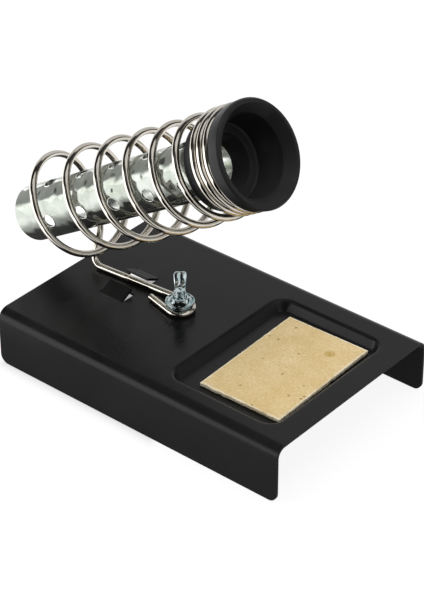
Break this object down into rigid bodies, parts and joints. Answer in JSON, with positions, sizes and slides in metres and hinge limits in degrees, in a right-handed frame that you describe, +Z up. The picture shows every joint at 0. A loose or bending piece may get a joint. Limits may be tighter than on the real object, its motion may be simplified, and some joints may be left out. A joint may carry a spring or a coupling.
{
  "type": "soldering iron stand",
  "caption": "Bench stand for a soldering iron: folded steel base with a sponge tray, and a wire coil holder with a mouth collar and a perforated heat tube clamped on by a wing nut.",
  "frame": {"origin": "on the surface that the stand rests on, under the middle of the whole stand's box", "axes": "+X from the heat tube's low end towards the sponge and the raised mouth, +Y across the base, +Z up"},
  "size_m": [0.1754, 0.098, 0.1363],
  "materials": {
    "black_paint": "semi-gloss black powder coat on sheet steel",
    "sponge": "dry compressed cellulose sponge, tan",
    "zinc_plate": "bright blue-white zinc plate",
    "nickel_wire": "bright nickel-plated spring wire",
    "black_plastic": "moulded black heat-resistant plastic, satin",
    "bright_tube": "bright zinc-plated steel tube"
  },
  "bodies": {
    "base": {"base_plate": "black_paint", "clamp_screw": "zinc_plate"},
    "sponge": {"sponge": "sponge"},
    "holder": {"holder_wire": "nickel_wire", "collar": "black_plastic", "perforated_tube": "bright_tube"},
    "washer": {"washer": "zinc_plate"},
    "wing_nut": {"wing_nut": "zinc_plate"}
  },
  "joints": [
    {"name": "sponge_lift", "type": "slide", "parent": "base", "child": "sponge", "axis": [0, 0, 1], "range_m": [0, 0.03]},
    {"name": "holder_lift", "type": "slide", "parent": "base", "child": "holder", "axis": [0, 0, 1], "range_m": [0, 0.025]},
    {"name": "nut_travel", "type": "slide", "parent": "holder", "child": "washer", "axis": [0, 0, 1], "range_m": [0, 0.004]},
    {"name": "nut_turn", "type": "hinge", "parent": "washer", "child": "wing_nut", "pos_m": [-0.00357, 0, 0.0325], "axis": [0, 0, 1], "range_deg": [0, 1800]}
  ],
  "couplings": [
    {"joint": "nut_travel", "follows": "nut_turn", "m_per_rad": 0.00012732}
  ]
}
